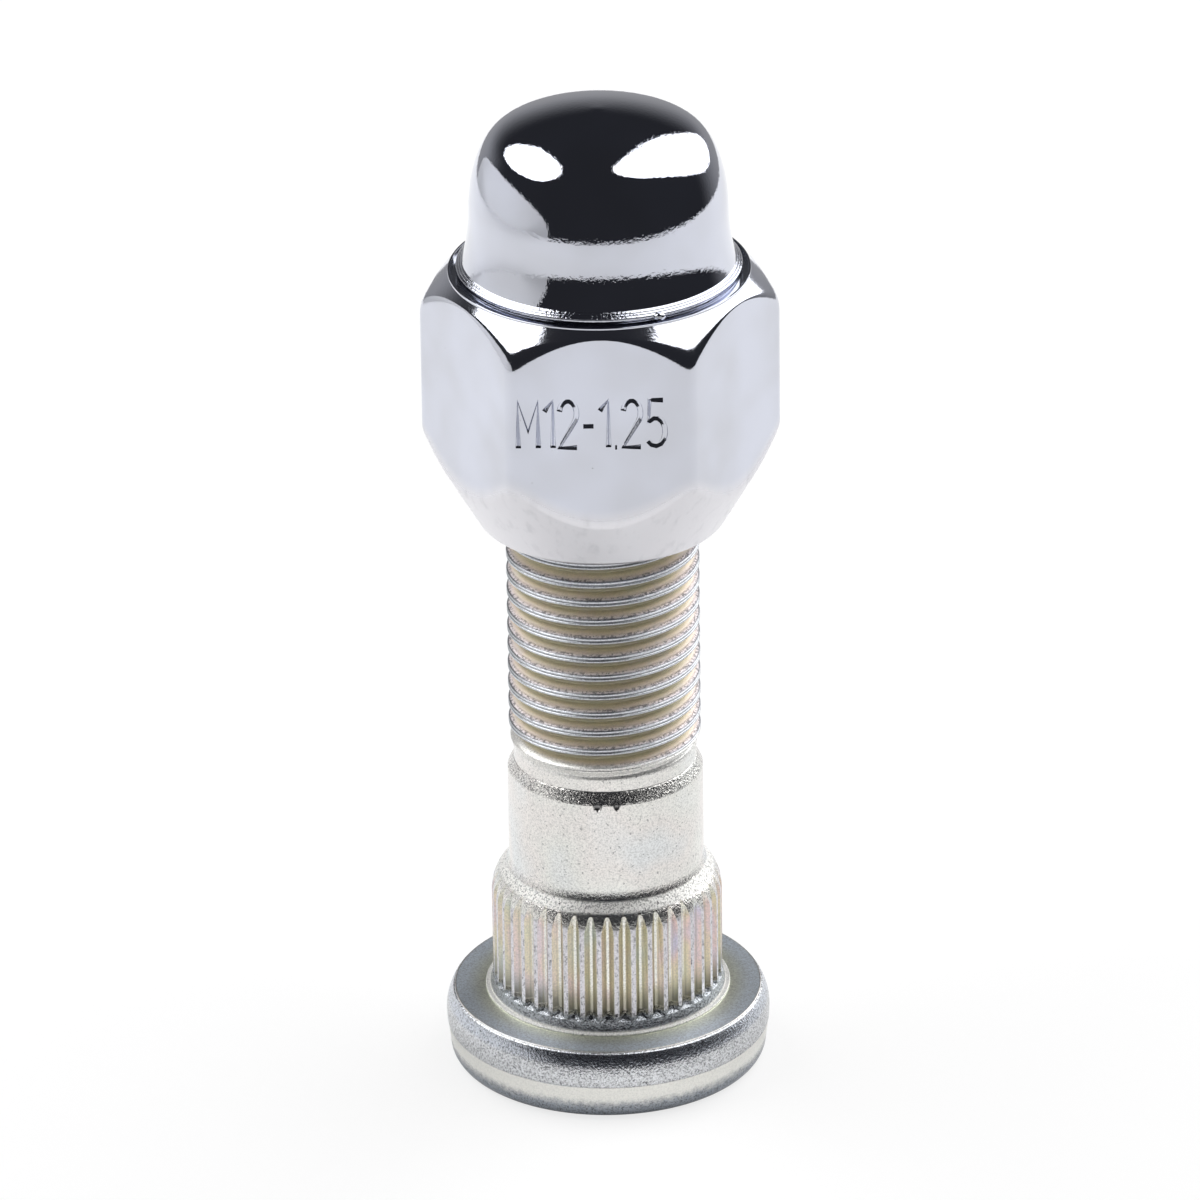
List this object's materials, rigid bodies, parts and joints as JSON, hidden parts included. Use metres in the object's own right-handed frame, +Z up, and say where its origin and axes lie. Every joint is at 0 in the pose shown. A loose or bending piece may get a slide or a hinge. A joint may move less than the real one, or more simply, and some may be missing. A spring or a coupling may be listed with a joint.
{
  "type": "wheel stud with capped nut",
  "caption": "Headed wheel stud with a splined press collar, plain shank and fine thread, carrying a chrome hexagon nut with a cone seat and a closed dome cap.",
  "frame": {"origin": "centre of the head's underside, on the stud's axis", "axes": "+Z runs up the stud from the head to the cap; a flat of the nut faces -Y and a corner +X in the rest pose"},
  "size_m": [0.0216, 0.02, 0.0633],
  "materials": {
    "zinc_plate": "zinc plated and clear to pale yellow passivated steel, satin",
    "chrome_plate": "bright chrome plated steel, mirror"
  },
  "bodies": {
    "stud": {"wheel_stud": "zinc_plate"},
    "cap": {"dome_cap": "chrome_plate"},
    "nut": {"nut_body": "chrome_plate"}
  },
  "joints": [
    {"name": "nut_travel", "type": "slide", "parent": "stud", "child": "cap", "axis": [0, 0, 1], "range_m": [-0.0138, 0.0113]},
    {"name": "nut_turn", "type": "hinge", "parent": "cap", "child": "nut", "pos_m": [0, 0, 0.0446], "axis": [0, 0, 1], "range_deg": [-3960, 3240]}
  ],
  "couplings": [
    {"joint": "nut_travel", "follows": "nut_turn", "m_per_rad": 0.00019894}
  ]
}
